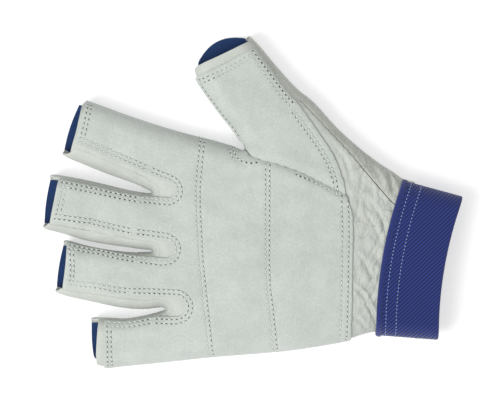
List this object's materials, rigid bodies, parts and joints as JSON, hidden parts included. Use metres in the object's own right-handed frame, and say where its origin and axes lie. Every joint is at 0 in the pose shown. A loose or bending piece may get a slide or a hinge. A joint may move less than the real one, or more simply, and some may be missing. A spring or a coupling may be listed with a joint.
{
  "type": "sailing glove",
  "caption": "Open-finger sailing glove for the right hand, with reinforced palm, stretch back and elastic cuff.",
  "frame": {"origin": "on the underside of the back, below the middle of the palm, with the glove lying on its back", "axes": "+X from the fingertips to the wrist, +Y towards the thumb side, +Z out of the palm"},
  "size_m": [0.2044, 0.1581, 0.0193],
  "materials": {
    "suede": "napped suede-like reinforcement, matt",
    "leather": "soft smooth grain, low sheen",
    "stretch_fabric": "fine stretch knit, matt",
    "elastic": "ribbed twill elastic, matt",
    "hook_and_loop": "hook and loop pile, matt"
  },
  "bodies": {
    "hand": {"palm_leather": "leather", "back_fabric": "stretch_fabric", "palm_reinforcement": "suede", "thumb_base_reinforcement": "suede", "little_side_edge": "leather", "thumb_side_gusset": "leather", "thumb_index_web": "leather", "index_middle_web": "leather", "middle_ring_web": "leather", "ring_little_web": "leather", "cuff_elastic": "elastic", "cuff_seam_tape": "elastic", "strap_root": "elastic", "loop_tape": "hook_and_loop"},
    "thumb": {"thumb_palm_leather": "leather", "thumb_reinforcement": "suede", "thumb_back": "stretch_fabric", "thumb_tip_hem": "leather", "thumb_side_strip": "leather"},
    "index": {"index_palm_leather": "leather", "index_reinforcement": "suede", "index_back": "stretch_fabric", "index_tip_hem": "leather", "index_fourchette_middle_side": "leather"},
    "middle": {"middle_palm_leather": "leather", "middle_reinforcement": "suede", "middle_back": "stretch_fabric", "middle_tip_hem": "leather", "middle_fourchette_index_side": "leather", "middle_fourchette_ring_side": "leather"},
    "ring": {"ring_palm_leather": "leather", "ring_reinforcement": "suede", "ring_back": "stretch_fabric", "ring_tip_hem": "leather", "ring_fourchette_middle_side": "leather", "ring_fourchette_little_side": "leather"},
    "little": {"little_palm_leather": "leather", "little_reinforcement": "suede", "little_back": "stretch_fabric", "little_tip_hem": "leather", "little_fourchette_ring_side": "leather"},
    "strap": {"closure_strap": "elastic", "hook_tape": "hook_and_loop", "pull_tab": "leather"}
  },
  "joints": [
    {"name": "thumb_curl", "type": "hinge", "parent": "hand", "child": "thumb", "pos_m": [0.0011, 0.0619, 0.018], "axis": [0.8151, 0.5793, 0], "range_deg": [-10, 60]},
    {"name": "index_curl", "type": "hinge", "parent": "hand", "child": "index", "pos_m": [-0.0574, 0.0423, 0.018], "axis": [0.342, 0.9397, 0], "range_deg": [-10, 75]},
    {"name": "middle_curl", "type": "hinge", "parent": "hand", "child": "middle", "pos_m": [-0.0646, 0.0124, 0.018], "axis": [0.1736, 0.9848, 0], "range_deg": [-10, 75]},
    {"name": "ring_curl", "type": "hinge", "parent": "hand", "child": "ring", "pos_m": [-0.0664, -0.0173, 0.018], "axis": [0.1564, 0.9877, 0], "range_deg": [-10, 75]},
    {"name": "little_curl", "type": "hinge", "parent": "hand", "child": "little", "pos_m": [-0.0563, -0.0453, 0.018], "axis": [-0.0837, 0.9965, 0], "range_deg": [-10, 75]},
    {"name": "strap_peel", "type": "hinge", "parent": "hand", "child": "strap", "pos_m": [0.0764, 0.0109, 0.00055], "axis": [0.9854, -0.1702, 0], "range_deg": [0, 150]}
  ]
}
